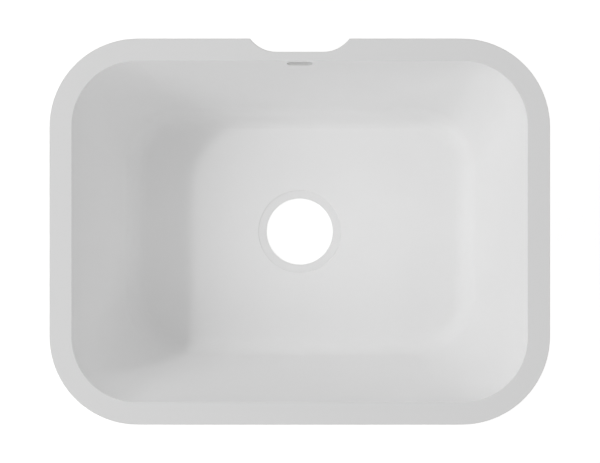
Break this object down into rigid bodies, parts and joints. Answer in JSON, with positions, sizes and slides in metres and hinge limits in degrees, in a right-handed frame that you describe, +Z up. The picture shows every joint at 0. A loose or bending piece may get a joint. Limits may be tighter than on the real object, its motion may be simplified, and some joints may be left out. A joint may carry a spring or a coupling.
{
  "type": "undermount kitchen sink",
  "caption": "Rounded rectangular undermount sink bowl with a notched bonding flange, waste hole, overflow slot and a rear overflow hood with a swivelling outlet.",
  "frame": {"origin": "under the middle of the waste hole, on the plane of the bowl's underside, which is also the middle of the overall box", "axes": "+X to the right of the sink, +Y to the back, where the flange is notched, +Z up out of the bowl"},
  "size_m": [0.6014, 0.464, 0.212],
  "materials": {
    "solid_surface": "satin",
    "moulded_polypropylene": "satin moulded",
    "elbow_polypropylene": "satin moulded",
    "gasket_rubber": "matt",
    "o_ring_rubber": "matt",
    "spring_steel": "drawn wire",
    "stainless_screw": "rolled",
    "stainless_washer": "stamped",
    "brass": "turned"
  },
  "bodies": {
    "sink": {"bowl": "solid_surface", "overflow_hood": "moulded_polypropylene", "hood_gasket": "gasket_rubber", "elbow_clip": "spring_steel", "hood_screw_upper_left": "stainless_screw", "hood_washer_upper_left": "stainless_washer", "thread_insert_upper_left": "brass", "hood_screw_upper_right": "stainless_screw", "hood_washer_upper_right": "stainless_washer", "thread_insert_upper_right": "brass", "hood_screw_lower_left": "stainless_screw", "hood_washer_lower_left": "stainless_washer", "thread_insert_lower_left": "brass", "hood_screw_lower_right": "stainless_screw", "hood_washer_lower_right": "stainless_washer", "thread_insert_lower_right": "brass"},
    "elbow": {"outlet_elbow": "elbow_polypropylene", "elbow_o_ring_upper": "o_ring_rubber", "elbow_o_ring_lower": "o_ring_rubber"}
  },
  "joints": [
    {"name": "elbow_swivel", "type": "hinge", "parent": "sink", "child": "elbow", "pos_m": [0, 0.20595, 0.09852], "axis": [0, 0.2147, 0.9767], "range_deg": [-5, 185]}
  ]
}
